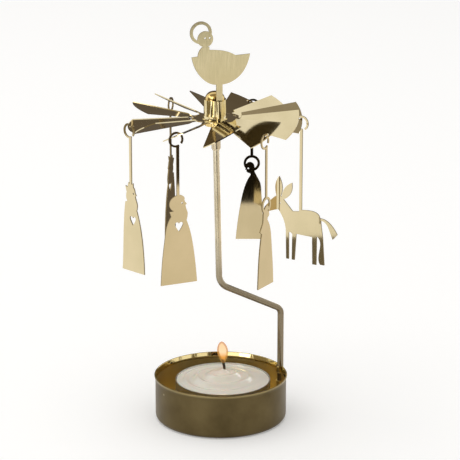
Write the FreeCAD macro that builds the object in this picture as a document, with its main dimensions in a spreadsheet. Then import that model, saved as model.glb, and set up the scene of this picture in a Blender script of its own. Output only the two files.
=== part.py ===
import FreeCAD, Part
import Sketcher
import math
import os
from FreeCAD import Placement, Rotation, Vector

# Candle carousel of sheet brass: a cup with a bent wire stand, a twelve-blade rotor on a
# needle, six flat figures that hang from the blades and one that stands on the hub.
# Frame: origin at the centre of the cup's underside, +Z up, the wire clipped into the wall
# at +X and bent in the XZ plane. Millimetres and degrees.

doc = FreeCAD.newDocument("carousel")
sheet = doc.addObject("Spreadsheet::Sheet", "sizes")

SIZES = [
    # Candle cup
    ("cup_radius", 26.2),
    ("cup_wall", 0.5),
    ("cup_height", 17.9),
    ("cup_corner", 2.0),
    ("lip_flare", 0.45),
    ("lip_height", 1.7),
    ("lip_edge", 0.2),
    # Three-band clip in the cup's wall
    ("band_height", 2.9),
    ("band_slit", 0.25),
    # Bent wire stand
    ("wire_radius", 1.25),
    ("lower_corner_height", 42.1),
    ("upper_corner_height", 55.6),
    ("upper_corner_offset", 0.6),
    ("lower_bend_radius", 3.2),
    ("upper_bend_radius", 6.5),
    # Needle and its ferrule
    ("spindle_offset", 2.3),
    ("pivot_height", 133.5),
    ("pivot_gap", 0.05),
    ("needle_rise", 19.45),
    ("needle_radius", 0.6),
    ("needle_tip_radius", 0.12),
    ("needle_point", 2.2),
    ("needle_seat", 3.2),
    ("ferrule_radius", 1.8),
    ("ferrule_length", 7.6),
    ("ferrule_grip", 3.4),
    ("ferrule_chamfer", 0.7),
    ("ferrule_cone", 1.2),
    ("fit_gap", 0.05),
    # Bearing cap
    ("cap_radius", 3.8),
    ("cap_wall", 0.5),
    ("cap_dome_rise", 3.0),
    ("cap_tail", 2.6),
    ("cap_foot_width", 1.0),
    ("cap_foot_height", 0.6),
    # Hub collar
    ("collar_wall", 0.5),
    ("collar_height", 7.5),
    ("collar_foot_width", 0.7),
    ("collar_foot_height", 0.8),
    # Rotor sheet
    ("rotor_drop", 10.2),
    ("rotor_sheet", 0.4),
    ("disc_radius", 8.3),
    ("blade_root", 10.4),
    ("neck_width", 3.2),
    ("neck_overlap", 0.7),
    ("blade_corner_radius", 33.1),
    ("blade_tip_radius", 34.0),
    ("figure_hole_place", 32.45),
    ("figure_hole_radius", 0.95),
    # Sheet of the figures, with the strip and ring that each one hangs by
    ("figure_sheet", 0.5),
    ("ring_radius", 3.0),
    ("ring_stroke", 0.75),
    ("ring_reach", 2.28),
    ("ring_drop", 1.2),
    ("strip_width", 1.15),
    ("strip_overlap", 0.8),
    ("figure_drop", 56.7),
    ("figure_height", 36.0),
    ("praying_figure_drop", 55.4),
    ("praying_figure_height", 34.7),
    ("walking_figure_drop", 57.2),
    ("walking_figure_height", 36.2),
    ("king_width", 12.4),
    ("turban_king_width", 15.0),
    ("praying_figure_width", 11.4),
    ("walking_figure_width", 11.9),
    ("heart_width", 3.3),
    ("heart_height", 3.7),
    ("eye_radius", 0.35),
    ("halo_radius", 3.3),
    ("halo_stroke", 1.0),
    # Donkey
    ("donkey_length", 31.2),
    ("donkey_height", 33.4),
    ("donkey_drop", 56.0),
    ("snout_bend_radius", 5.5),
    # Cradle plate on the hub
    ("cradle_width", 23.4),
    ("cradle_depth", 11.3),
    ("cradle_rise", 25.5),
    ("cradle_stem_width", 2.5),
    ("cradle_stem_seat", 0.8),
    ("cradle_shift", 0.5),
    ("infant_head_radius", 3.1),
    ("infant_halo_radius", 4.35),
    ("infant_halo_stroke", 1.15),
    # Tea light
    ("light_offset", 0.8),
    ("light_side_offset", 0.3),
    ("light_radius", 19.0),
    ("light_wall", 0.35),
    ("light_height", 15.3),
    ("light_corner", 1.2),
    ("wax_gap", 0.05),
    ("wax_edge_drop", 0.5),
    ("wax_rise", 5.2),
    ("wax_top_radius", 1.5),
    ("wick_radius", 0.55),
    ("wick_offset", 0.6),
    ("wick_bend_height", 20.2),
    ("wick_top_height", 23.6),
    ("wick_lean", 0.75),
    ("wick_bend_radius", 3.0),
    ("sustainer_radius", 6.5),
    ("sustainer_sheet", 0.3),
    ("sustainer_neck_radius", 1.2),
    ("sustainer_neck_height", 4.0),
    # How far every cutting shape runs past what it cuts
    ("overrun", 5.0),
]
for row, (alias, value) in enumerate(SIZES, start=1):
    sheet.set("A%d" % row, alias)
    sheet.set("B%d" % row, str(value))
    sheet.setAlias("B%d" % row, alias)
doc.recompute()

# Angles in degrees: turns of the figures and blades, and the rounded pitch of each blade
FULL_TURN = 360.0
BLADE_COUNT = 12
BLADE_HALF_ANGLE = 14.3
FIRST_BLADE_ANGLE = 13.4
SNOUT_BEND = 22.0
RING_GAP_ANGLE = 24.0
CRADLE_FACING = -4.0

# Each blade is bent by hand at its neck: pitch, droop and turn, anticlockwise from the first
BLADE_BENDS = [
    (26.5, 1.0, -0.5),
    (21.5, 1.0, 0.5),
    (27.0, 0.5, 0.0),
    (28.5, -1.5, -1.0),
    (29.5, -2.5, 0.5),
    (31.5, 5.5, 1.0),
    (25.5, -1.0, -1.0),
    (25.0, -2.5, 1.5),
    (27.5, -1.0, 0.0),
    (28.5, 1.0, 2.0),
    (31.0, -1.0, 2.0),
    (34.0, 1.0, -1.0),
]

# The hanging figures, one on every second blade, anticlockwise from the second blade
HUNG_FIGURES = [
    "praying_figure_plate",
    "tall_crown_king_plate",
    "crowned_king_plate",
    "turban_king_plate",
    "walking_figure_plate",
    "donkey_plate",
]

# In the same order, the direction of each plate in degrees from +X, and how far its strip
# stands beside the ring's middle, as a share of the ring's radius
HANG_TURNS = [
    (-22.0, -0.12),
    (50.0, -0.15),
    (-67.0, 0.2),
    (3.0, 0.22),
    (38.0, 0.4),
    (-55.0, -0.06),
]

PARTS = {}


def size(alias):
    return float(sheet.get(alias))


def figured(expression):
    """Value of a sum of cells, for places that depend on more than one size."""
    return float(sheet.evalExpression(expression))


def origin_plane(body, role):
    return [item for item in body.Origin.OriginFeatures if item.Role == role][0]


def new_sketch(body, name, role="XZ_Plane", height=None):
    sketch = body.newObject("Sketcher::SketchObject", name)
    sketch.AttachmentSupport = (origin_plane(body, role), [""])
    sketch.MapMode = "FlatFace"
    if height is not None:
        sketch.setExpression("AttachmentOffset.Base.z", height)
    return sketch


def keep(name, item, placement=None):
    """Give a finished sub-part its label and its place."""
    item.Label = name
    if placement is not None:
        item.Placement = placement
    PARTS[name] = item
    return item


def bound_profile(sketch, corners):
    """Closed outline of straight edges whose corners are tied to sums of cells."""
    points = [Vector(figured(x), figured(z), 0) for x, z in corners]
    last = len(points) - 1
    for index, point in enumerate(points):
        following = points[0] if index == last else points[index + 1]
        sketch.addGeometry(Part.LineSegment(point, following), False)
    for index in range(len(points)):
        following = 0 if index == last else index + 1
        sketch.addConstraint(Sketcher.Constraint("Coincident", index, 2, following, 1))
    for index, (x, z) in enumerate(corners):
        for kind, text, value, axis in (("DistanceX", x, points[index].x, -2),
                                        ("DistanceY", z, points[index].y, -1)):
            if value == 0:
                sketch.addConstraint(Sketcher.Constraint("PointOnObject", index, 1, axis))
                continue
            number = sketch.addConstraint(Sketcher.Constraint(kind, -1, 1, index, 1, value))
            sketch.setExpression("Constraints[%d]" % number, text)


def turned_body(name, corners):
    """A body turned about its own Z axis from a profile of radius and height."""
    body = doc.addObject("PartDesign::Body", name)
    sketch = new_sketch(body, name + "_profile")
    bound_profile(sketch, corners)
    doc.recompute()
    turned = body.newObject("PartDesign::Revolution", name + "_turned")
    turned.Profile = sketch
    turned.ReferenceAxis = (sketch, ["V_Axis"])
    turned.Angle = FULL_TURN
    doc.recompute()
    return body


def round_edges(body, name, radius, wanted):
    """Fillet the circular edges that lie at the given radius and height."""
    base = body.Tip
    names = []
    for number, edge in enumerate(base.Shape.Edges, start=1):
        if not isinstance(edge.Curve, Part.Circle):
            continue
        for edge_radius, height in wanted:
            close = abs(edge.Curve.Radius - edge_radius) < CLOSE
            if close and abs(edge.Curve.Center.z - height) < CLOSE:
                names.append("Edge%d" % number)
    fillet = body.newObject("PartDesign::Fillet", name)
    fillet.Base = (base, names)
    fillet.setExpression("Radius", radius)
    doc.recompute()
    return fillet


CLOSE = 1e-4


# Candle cup, drawn from one disc of sheet: flat floor, rounded corner, flared lip
def make_candle_cup():
    body = turned_body("candle_cup", [
        ("0", "0"),
        ("sizes.cup_radius", "0"),
        ("sizes.cup_radius", "sizes.cup_height - sizes.lip_height"),
        ("sizes.cup_radius + sizes.lip_flare", "sizes.cup_height"),
        ("sizes.cup_radius + sizes.lip_flare - sizes.cup_wall", "sizes.cup_height"),
        ("sizes.cup_radius - sizes.cup_wall", "sizes.cup_height - sizes.lip_height"),
        ("sizes.cup_radius - sizes.cup_wall", "sizes.cup_wall"),
        ("0", "sizes.cup_wall"),
    ])
    radius, wall = size("cup_radius"), size("cup_wall")
    lip_start = size("cup_height") - size("lip_height")
    round_edges(body, "cup_corner_outside", "sizes.cup_corner", [(radius, 0)])
    round_edges(body, "cup_corner_inside", "sizes.cup_corner - sizes.cup_wall",
                [(radius - wall, wall)])
    round_edges(body, "lip_curve", "sizes.lip_height",
                [(radius, lip_start), (radius - wall, lip_start)])
    rim = radius + size("lip_flare")
    round_edges(body, "lip_rounding", "sizes.lip_edge",
                [(rim, size("cup_height")), (rim - wall, size("cup_height"))])
    cut_clip_slot(body)
    # From the lip down the bands go in, out and in again, so the wire threads them
    for level, name in enumerate(["inner_band_top", "outer_band", "inner_band_low"]):
        add_clip_band(body, name, level, outward=(level == 1))
    keep("candle_cup", body)


SLOT_HALF = "(sizes.wire_radius + sizes.fit_gap)"
CLIP_FLOOR = "(sizes.cup_height - 3 * sizes.band_height - 3 * sizes.band_slit)"
WALL_MIDDLE = "(sizes.cup_radius - sizes.cup_wall / 2)"
WIRE_TOP = "(sizes.pivot_height - sizes.pivot_gap - sizes.needle_rise)"
ROTOR_LEVEL = "(sizes.pivot_height - sizes.rotor_drop)"


def cut_clip_slot(body):
    sketch = new_sketch(body, "slot_outline", "YZ_Plane")
    bound_profile(sketch, [
        ("-" + SLOT_HALF, CLIP_FLOOR),
        (SLOT_HALF, CLIP_FLOOR),
        (SLOT_HALF, "sizes.cup_height + sizes.overrun"),
        ("-" + SLOT_HALF, "sizes.cup_height + sizes.overrun"),
    ])
    doc.recompute()
    before = body.Tip.Shape.Volume
    slot = body.newObject("PartDesign::Pocket", "clip_slot")
    slot.Profile = sketch
    slot.setExpression("Length", "sizes.cup_radius + sizes.overrun")
    slot.Reversed = True
    doc.recompute()
    if slot.Shape.Volume >= before:
        raise ValueError("the clip slot cuts nothing")


def add_clip_band(body, name, level, outward):
    """One half-round band, level 0 at the lip, joined to the wall at both its feet."""
    low = "sizes.cup_height - %d * sizes.band_height - %d * sizes.band_slit" % (level + 1, level)
    sketch = new_sketch(body, name + "_outline", "XY_Plane", low)
    inner = figured(SLOT_HALF)
    outer = inner + size("cup_wall")
    side = 1 if outward else -1
    middle = figured(WALL_MIDDLE)
    feet = (Vector(middle, -outer, 0), Vector(middle, -inner, 0),
            Vector(middle, inner, 0), Vector(middle, outer, 0))
    sketch.addGeometry(Part.LineSegment(feet[0], feet[1]), False)
    sketch.addGeometry(Part.Arc(feet[1], Vector(middle + side * inner, 0, 0), feet[2]), False)
    sketch.addGeometry(Part.LineSegment(feet[2], feet[3]), False)
    sketch.addGeometry(Part.Arc(feet[3], Vector(middle + side * outer, 0, 0), feet[0]), False)
    doc.recompute()
    band = body.newObject("PartDesign::Pad", name)
    band.Profile = sketch
    band.setExpression("Length", "sizes.band_height")
    doc.recompute()


# Stand: one wire, straight legs joined by two bends, its upper leg a little out of upright
def spindle_lean():
    """Angle of the upper leg from the vertical, from its corner and the needle's point."""
    run = size("spindle_offset") - size("upper_corner_offset")
    rise = size("pivot_height") - size("upper_corner_height")
    return math.atan2(run, rise)


def on_spindle(height):
    """Point of the leaning upper leg's axis at a height."""
    shift = (height - size("pivot_height")) * math.tan(spindle_lean())
    return Vector(-size("spindle_offset") - shift, 0, height)


def rounded_path(points, radii):
    """Straight runs joined by tangent arcs, one radius for each inner point."""
    edges = []
    start = points[0]
    for index in range(1, len(points) - 1):
        corner = points[index]
        back = (points[index - 1] - corner).normalize()
        ahead = (points[index + 1] - corner).normalize()
        half = back.getAngle(ahead) / 2
        reach = radii[index - 1] / math.tan(half)
        inward = (back + ahead).normalize()
        middle = corner + inward * (radii[index - 1] / math.sin(half) - radii[index - 1])
        first, second = corner + back * reach, corner + ahead * reach
        edges.append(Part.LineSegment(start, first).toShape())
        edges.append(Part.Arc(first, middle, second).toShape())
        start = second
    edges.append(Part.LineSegment(start, points[-1]).toShape())
    return Part.Wire(edges)


def swept_wire(name, path, radius):
    """A round bar along a path that starts straight up."""
    spine = doc.addObject("Part::Feature", name + "_path")
    spine.Shape = path
    section = doc.addObject("Part::Circle", name + "_section")
    section.setExpression("Radius", radius)
    section.Placement = Placement(path.Vertexes[0].Point, Rotation())
    sweep = doc.addObject("Part::Sweep", name)
    sweep.Sections = [section]
    sweep.Spine = (spine, ["Edge%d" % (n + 1) for n in range(len(path.Edges))])
    sweep.Solid = True
    sweep.Frenet = False
    doc.recompute()
    full = math.pi * size_of(section.Radius) ** 2 * path.Length
    if abs(sweep.Shape.Volume - full) > full / 100:
        raise ValueError("the swept wire %s lost volume" % name)
    return sweep


def size_of(quantity):
    return float(getattr(quantity, "Value", quantity))


def make_stand_wire():
    middle = figured(WALL_MIDDLE)
    path = rounded_path([
        Vector(middle, 0, figured(CLIP_FLOOR)),
        Vector(middle, 0, size("lower_corner_height")),
        on_spindle(size("upper_corner_height")),
        on_spindle(figured(WIRE_TOP)),
    ], [size("lower_bend_radius"), size("upper_bend_radius")])
    keep("stand_wire", swept_wire("stand_wire", path, "sizes.wire_radius"))


def spindle_placement(height):
    """Place of a turned piece on the leaning spindle, its base at a height."""
    return Placement(on_spindle(height), Rotation(Vector(0, 1, 0), -math.degrees(spindle_lean())))


# Ferrule: a turned sleeve pushed over the wire's end, with the needle pressed in its nose
def make_needle_ferrule():
    grip = "sizes.ferrule_grip"
    wire_bore = "sizes.wire_radius + sizes.fit_gap"
    needle_bore = "sizes.needle_radius + sizes.fit_gap"
    body = turned_body("needle_ferrule", [
        (wire_bore, "0"),
        ("sizes.ferrule_radius - sizes.ferrule_chamfer / 2", "0"),
        ("sizes.ferrule_radius", "sizes.ferrule_chamfer"),
        ("sizes.ferrule_radius", "sizes.ferrule_length - sizes.ferrule_cone"),
        ("sizes.needle_radius + sizes.fit_gap * 4", "sizes.ferrule_length"),
        (needle_bore, "sizes.ferrule_length"),
        (needle_bore, grip),
        (wire_bore, grip),
    ])
    lean = math.cos(spindle_lean())
    foot = figured(WIRE_TOP) - size("ferrule_grip") * lean
    keep("needle_ferrule", body, spindle_placement(foot))


# Needle: a steel pin whose point carries the whole rotor
def make_pivot_needle():
    length = "(sizes.needle_rise / %r)" % math.cos(spindle_lean())
    body = turned_body("pivot_needle", [
        ("0", "0"),
        ("sizes.needle_radius", "0"),
        ("sizes.needle_radius", length + " - sizes.needle_point"),
        ("sizes.needle_tip_radius", length),
        ("0", length),
    ])
    keep("pivot_needle", body, spindle_placement(figured(WIRE_TOP)))


# Bearing cap: a drawn thimble, domed on top, its foot rolled out under the rotor
def make_bearing_cap():
    top = "(sizes.rotor_drop + sizes.cap_wall)"
    under = "(-sizes.rotor_sheet / 2)"
    foot = "(-sizes.rotor_sheet / 2 - sizes.cap_foot_height)"
    tail = "(-sizes.rotor_sheet / 2 - sizes.cap_tail)"
    inside = "(sizes.cap_radius - sizes.cap_wall)"
    body = turned_body("bearing_cap", [
        ("0", top),
        ("sizes.cap_radius", top),
        ("sizes.cap_radius", under),
        ("sizes.cap_radius + sizes.cap_foot_width", under),
        ("sizes.cap_radius + sizes.cap_foot_width", foot),
        ("sizes.cap_radius", foot),
        ("sizes.cap_radius", tail),
        (inside, tail),
        (inside, top + " - sizes.cap_wall"),
        ("0", top + " - sizes.cap_wall"),
    ])
    outer, crown = size("cap_radius"), figured(top)
    round_edges(body, "dome_outside", "sizes.cap_dome_rise", [(outer, crown)])
    round_edges(body, "dome_inside", "sizes.cap_dome_rise - sizes.cap_wall",
                [(figured(inside), crown - size("cap_wall"))])
    wide = outer + size("cap_foot_width")
    round_edges(body, "foot_rounding", "sizes.cap_foot_height / 3",
                [(wide, figured(foot)), (wide, figured(under))])
    keep("bearing_cap", body, Placement(rotor_centre(), Rotation()))


def rotor_centre():
    return Vector(-size("spindle_offset"), 0, figured(ROTOR_LEVEL))


# Hub collar: a sleeve round the cap with a flared foot, and one pressed-out channel that
# grips the cradle's stem against the cap
def cradle_rotation():
    return Rotation(Vector(0, 0, 1), CRADLE_FACING)


def make_hub_collar():
    floor = "(sizes.rotor_sheet / 2)"
    inside = "(sizes.cap_radius + sizes.fit_gap)"
    outside = "(sizes.cap_radius + sizes.fit_gap + sizes.collar_wall)"
    body = turned_body("hub_collar", [
        (inside, floor),
        (outside + " + sizes.collar_foot_width", floor),
        (outside + " + sizes.collar_foot_width", floor + " + sizes.collar_wall / 2"),
        (outside, floor + " + sizes.collar_foot_height"),
        (outside, floor + " + sizes.collar_height"),
        (inside, floor + " + sizes.collar_height"),
    ])
    outer = figured(outside)
    round_edges(body, "collar_sweep", "sizes.collar_foot_height",
                [(outer, figured(floor) + size("collar_foot_height"))])
    channel = "(sizes.cradle_stem_width / 2 + sizes.fit_gap * 3)"
    placed = Vector(size("cradle_shift"), -figured(inside), 0)
    pad_circle(body, "channel_wall", channel + " + sizes.collar_wall", placed,
               floor, "sizes.collar_height")
    pocket_circle(body, "channel_bore", channel, placed, floor)
    pocket_circle(body, "cap_bore", inside, Vector(), floor)
    keep("hub_collar", body, Placement(rotor_centre(), cradle_rotation()))


def circle_sketch(body, name, radius, centre, height):
    sketch = new_sketch(body, name + "_outline", "XY_Plane", height)
    sketch.addGeometry(Part.Circle(centre, Vector(0, 0, 1), figured(radius)), False)
    number = sketch.addConstraint(Sketcher.Constraint("Radius", 0, figured(radius)))
    sketch.setExpression("Constraints[%d]" % number, radius)
    doc.recompute()
    return sketch


def pad_circle(body, name, radius, centre, height, length):
    pad = body.newObject("PartDesign::Pad", name)
    pad.Profile = circle_sketch(body, name, radius, centre, height)
    pad.setExpression("Length", length)
    doc.recompute()


def pocket_circle(body, name, radius, centre, height):
    sketch = circle_sketch(body, name, radius, centre, height)
    before = body.Tip.Shape.Volume
    pocket = body.newObject("PartDesign::Pocket", name)
    pocket.Profile = sketch
    pocket.Type = "ThroughAll"
    pocket.Reversed = True
    doc.recompute()
    if pocket.Shape.Volume > before:
        raise ValueError("the pocket %s adds material" % name)


# Rotor: one sheet, its twelve sectors sheared apart and twisted at narrow necks
def blade_frame(index):
    """Hinge point of a blade with its outward, sideways and upward directions."""
    pitch, droop, turn = BLADE_BENDS[index]
    angle = FIRST_BLADE_ANGLE + index * FULL_TURN / BLADE_COUNT + turn
    level = Rotation(Vector(0, 0, 1), angle)
    hinge = (size("disc_radius") + size("blade_root")) / 2
    bent = level * Rotation(Vector(0, 1, 0), droop) * Rotation(Vector(1, 0, 0), pitch)
    start = rotor_centre() + level.multVec(Vector(hinge, 0, 0))
    return start, level, bent, hinge


def blade_solid(index):
    start, _, bent, hinge = blade_frame(index)
    half = math.radians(BLADE_HALF_ANGLE)
    corner, root, sheet_gauge = size("blade_corner_radius"), size("blade_root"), size("rotor_sheet")
    out, side = corner * math.cos(half), corner * math.sin(half)
    root_side = root * math.tan(half)
    low = -sheet_gauge / 2
    points = [Vector(root, -root_side, low), Vector(out, -side, low),
              Vector(size("blade_tip_radius"), 0, low), Vector(out, side, low),
              Vector(root, root_side, low)]
    outline = Part.Wire([
        Part.LineSegment(points[0], points[1]).toShape(),
        Part.Arc(points[1], points[2], points[3]).toShape(),
        Part.LineSegment(points[3], points[4]).toShape(),
        Part.LineSegment(points[4], points[0]).toShape(),
    ])
    solid = Part.Face(outline).extrude(Vector(0, 0, sheet_gauge))
    if index % 2 == 1:
        hole = Part.makeCylinder(size("figure_hole_radius"), sheet_gauge + 2 * size("overrun"),
                                 Vector(size("figure_hole_place"), 0, low - size("overrun")))
        solid = solid.cut(hole)
    solid.translate(Vector(-hinge, 0, 0))
    solid.Placement = Placement(start, bent) * solid.Placement
    return solid


def neck_section(place, turn, offset):
    """Cross-section of a neck, offset along its own direction from the hinge."""
    half_width, half_gauge = size("neck_width") / 2, size("rotor_sheet") / 2
    corners = [Vector(offset, side * half_width, up * half_gauge)
               for side, up in ((-1, -1), (1, -1), (1, 1), (-1, 1))]
    corners = [place + turn.multVec(corner) for corner in corners]
    return Part.makePolygon(corners + corners[:1])


def neck_solid(index):
    start, level, bent, hinge = blade_frame(index)
    reach = hinge - size("disc_radius")
    overlap = size("neck_overlap")
    sections = [neck_section(start, level, -reach - overlap), neck_section(start, level, -reach),
                neck_section(start, bent, reach), neck_section(start, bent, reach + overlap)]
    return Part.makeLoft(sections, True, True)


def make_rotor_disc():
    gauge = size("rotor_sheet")
    base = rotor_centre() - Vector(0, 0, gauge / 2)
    solid = Part.makeCylinder(size("disc_radius"), gauge, base)
    pieces = []
    for index in range(BLADE_COUNT):
        pieces += [neck_solid(index), blade_solid(index)]
    solid = solid.fuse(pieces)
    bore = Part.makeCylinder(size("cap_radius") + size("fit_gap"), gauge + 2 * size("overrun"),
                             base - Vector(0, 0, size("overrun")))
    feature = doc.addObject("Part::Feature", "rotor_disc")
    feature.Shape = solid.cut(bore)
    keep("rotor_disc", feature)


# Flat figures. An outline is a list of runs; a run is "line" or "curve" with the points that
# follow the last one, as shares of the figure's width and of its height above its foot.
def outline_edges(runs, width, height, foot, shift=0):
    def placed(point):
        return Vector(shift + point[0] * width, foot + point[1] * height, 0)
    start = placed(runs[-1][1][-1])
    edges = []
    for kind, shares in runs:
        points = [start] + [placed(point) for point in shares]
        if kind == "curve":
            curve = Part.BSplineCurve()
            curve.interpolate(points)
            edges.append(curve)
        else:
            edges += [Part.LineSegment(a, b) for a, b in zip(points, points[1:])]
        start = points[-1]
    return edges


def mirrored(runs):
    return [(kind, [(-x, y) for x, y in shares]) for kind, shares in runs]


def pad_plate(body, name, edges, gauge="sizes.figure_sheet"):
    sketch = new_sketch(body, name + "_outline")
    for edge in edges:
        sketch.addGeometry(edge, False)
    doc.recompute()
    pad = body.newObject("PartDesign::Pad", name)
    pad.Profile = sketch
    pad.Midplane = True
    pad.setExpression("Length", gauge)
    doc.recompute()


def punch(body, name, edges):
    """Punch a hole through a plate."""
    sketch = new_sketch(body, name + "_outline")
    for edge in edges:
        sketch.addGeometry(edge, False)
    doc.recompute()
    before = body.Tip.Shape.Volume
    hole = body.newObject("PartDesign::Pocket", name)
    hole.Profile = sketch
    hole.Midplane = True
    hole.setExpression("Length", "sizes.figure_sheet * 2")
    doc.recompute()
    if hole.Shape.Volume >= before:
        raise ValueError("%s cuts nothing" % name)


def circle_at(x, z, radius):
    return [Part.Circle(Vector(x, z, 0), Vector(0, 0, 1), radius)]


def ring_edges(x, z, radius, stroke, open_from=None, open_to=None):
    """Outline of a flat ring, whole or with a gap between two angles in degrees."""
    centre, up = Vector(x, z, 0), Vector(0, 0, 1)
    outer, inner = Part.Circle(centre, up, radius), Part.Circle(centre, up, radius - stroke)
    if open_from is None:
        return [outer, inner]
    first, last = math.radians(open_to), math.radians(open_from) + 2 * math.pi
    big, small = outer.trim(first, last), inner.trim(first, last)
    ends = [(curve.value(first), curve.value(last)) for curve in (outer, inner)]
    return [big, small, Part.LineSegment(ends[0][0], ends[1][0]),
            Part.LineSegment(ends[0][1], ends[1][1])]


def bar_edges(left, right, low, high):
    corners = [Vector(left, low, 0), Vector(right, low, 0), Vector(right, high, 0),
               Vector(left, high, 0)]
    return [Part.LineSegment(a, b) for a, b in zip(corners, corners[1:] + corners[:1])]


def strip_shift(name):
    return HANG_TURNS[HUNG_FIGURES.index(name)][1] * size("ring_radius")


def hanger_edges(name, strip_foot):
    """Open ring about the origin, and the strip beside its gap down to the plate."""
    radius, stroke, half = size("ring_radius"), size("ring_stroke"), size("strip_width") / 2
    shift, middle = strip_shift(name), radius - stroke / 2
    strip_top = -math.sqrt(middle ** 2 - shift ** 2)
    gap = -math.degrees(math.acos((shift + half) / middle))
    return (bar_edges(shift - half, shift + half, strip_foot, strip_top),
            ring_edges(0, 0, radius, stroke, gap, gap + RING_GAP_ANGLE))


def add_hanger(body, name, strip_foot):
    strip, ring = hanger_edges(name, strip_foot)
    pad_plate(body, "strip", strip)
    pad_plate(body, "ring", ring)


def ring_centre(index, facing):
    """Centre of a figure's ring, below the bridge of sheet between hole and blade edge."""
    start, level, bent, hinge = blade_frame(index)
    hole = start + bent.multVec(Vector(size("figure_hole_place") - hinge, 0, 0))
    across = Rotation(Vector(0, 0, 1), facing).multVec(Vector(0, 1, 0))
    along = across.cross(bent.multVec(Vector(0, 0, 1))).normalize()
    if along.dot(level.multVec(Vector(1, 0, 0))) < 0:
        along = along * -1
    down = along.cross(across)
    if down.z > 0:
        down = down * -1
    return hole + along * size("ring_reach") + down * size("ring_drop")


def hang(name, body):
    order = HUNG_FIGURES.index(name)
    facing = HANG_TURNS[order][0]
    place = Placement(ring_centre(2 * order + 1, facing), Rotation(Vector(0, 0, 1), facing))
    keep(name, body, place)


def heart_edges(x, top, width, height):
    """Heart with two round lobes and a point below."""
    half = width / 2
    shoulder = top - height * HEART_SHOULDER_SHARE
    dip = Vector(x, top - height * HEART_DIP_SHARE, 0)
    point = Vector(x, top - height, 0)
    edges = []
    for side in (-1, 1):
        outer = Vector(x + side * half, shoulder, 0)
        lobe = Vector(x + side * half * HEART_LOBE_SHARE, top, 0)
        flank = Vector(x + side * half * HEART_FLANK_SHARE, top - height * HEART_LOBE_SHARE, 0)
        edges.append(Part.Arc(dip, lobe, outer))
        edges.append(Part.Arc(outer, flank, point))
    return edges


HEART_SHOULDER_SHARE = 0.3
HEART_DIP_SHARE = 0.16
HEART_LOBE_SHARE = 0.58
HEART_FLANK_SHARE = 0.66

# Crowned king that faces along +X: a robe that widens to a straight hem, a collar point at
# the back, a three-point crown, a plain face and a short beard
CROWNED_KING_SHARES = [
    ("curve", [(-0.36, 0.32), (-0.315, 0.60), (-0.25, 0.775)]),
    ("line", [(-0.15, 0.785)]),
    ("curve", [(-0.205, 0.83), (-0.18, 0.885)]),
    ("line", [(-0.24, 0.955), (-0.14, 0.945), (-0.095, 1.0), (0.0, 0.965), (0.11, 1.0),
              (0.115, 0.955)]),
    ("curve", [(0.175, 0.93), (0.19, 0.90)]),
    ("line", [(0.25, 0.866), (0.205, 0.857), (0.215, 0.842)]),
    ("curve", [(0.25, 0.81), (0.295, 0.765), (0.285, 0.725), (0.265, 0.70)]),
    ("curve", [(0.37, 0.596), (0.50, 0.39), (0.565, 0.20), (0.59, 0.0)]),
    ("line", [(-0.415, 0.0)]),
]

# Second crowned king, seen from its other side: taller crown points, longer beard
TALL_CROWN_KING_SHARES = mirrored([
    ("curve", [(-0.37, 0.32), (-0.32, 0.60), (-0.235, 0.78)]),
    ("line", [(-0.14, 0.79)]),
    ("curve", [(-0.19, 0.83), (-0.165, 0.875)]),
    ("line", [(-0.285, 0.945), (-0.165, 0.935), (-0.15, 0.99), (-0.045, 0.965), (0.02, 1.02),
              (0.07, 0.965), (0.20, 1.005), (0.15, 0.945)]),
    ("curve", [(0.19, 0.925), (0.20, 0.90)]),
    ("line", [(0.262, 0.866), (0.215, 0.857), (0.228, 0.842)]),
    ("curve", [(0.27, 0.80), (0.30, 0.745), (0.27, 0.69)]),
    ("curve", [(0.385, 0.58), (0.51, 0.38), (0.57, 0.20), (0.60, 0.0)]),
    ("line", [(-0.42, 0.0)]),
])

# King in a round turban, broader in the robe
TURBAN_KING_SHARES = [
    ("curve", [(-0.44, 0.276), (-0.365, 0.52), (-0.285, 0.675), (-0.19, 0.745)]),
    ("line", [(-0.235, 0.80), (-0.115, 0.805)]),
    ("curve", [(-0.21, 0.838), (-0.237, 0.886), (-0.18, 0.938), (-0.055, 0.968),
               (0.065, 0.972), (0.15, 0.955), (0.18, 0.935)]),
    ("curve", [(0.175, 0.915), (0.185, 0.90)]),
    ("line", [(0.24, 0.868), (0.2, 0.859), (0.208, 0.845)]),
    ("curve", [(0.23, 0.81), (0.26, 0.77), (0.255, 0.735), (0.23, 0.69)]),
    ("curve", [(0.31, 0.595), (0.41, 0.395), (0.47, 0.20), (0.512, 0.0)]),
    ("line", [(-0.488, 0.0)]),
]

# Robed figure that bows its head, facing along -X; its halo ring is a pad of its own
PRAYING_FIGURE_SHARES = [
    ("curve", [(-0.50, 0.21), (-0.385, 0.45), (-0.265, 0.62), (-0.15, 0.715), (-0.04, 0.775)]),
    ("curve", [(-0.09, 0.80), (-0.15, 0.807), (-0.19, 0.822)]),
    ("line", [(-0.185, 0.836), (-0.235, 0.842), (-0.19, 0.868)]),
    ("curve", [(-0.195, 0.905), (-0.13, 0.927), (-0.03, 0.929), (0.06, 0.91), (0.10, 0.87),
               (0.095, 0.82)]),
    ("curve", [(0.19, 0.755), (0.29, 0.69), (0.345, 0.55), (0.375, 0.40), (0.43, 0.0)]),
    ("line", [(-0.57, 0.0)]),
]

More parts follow.
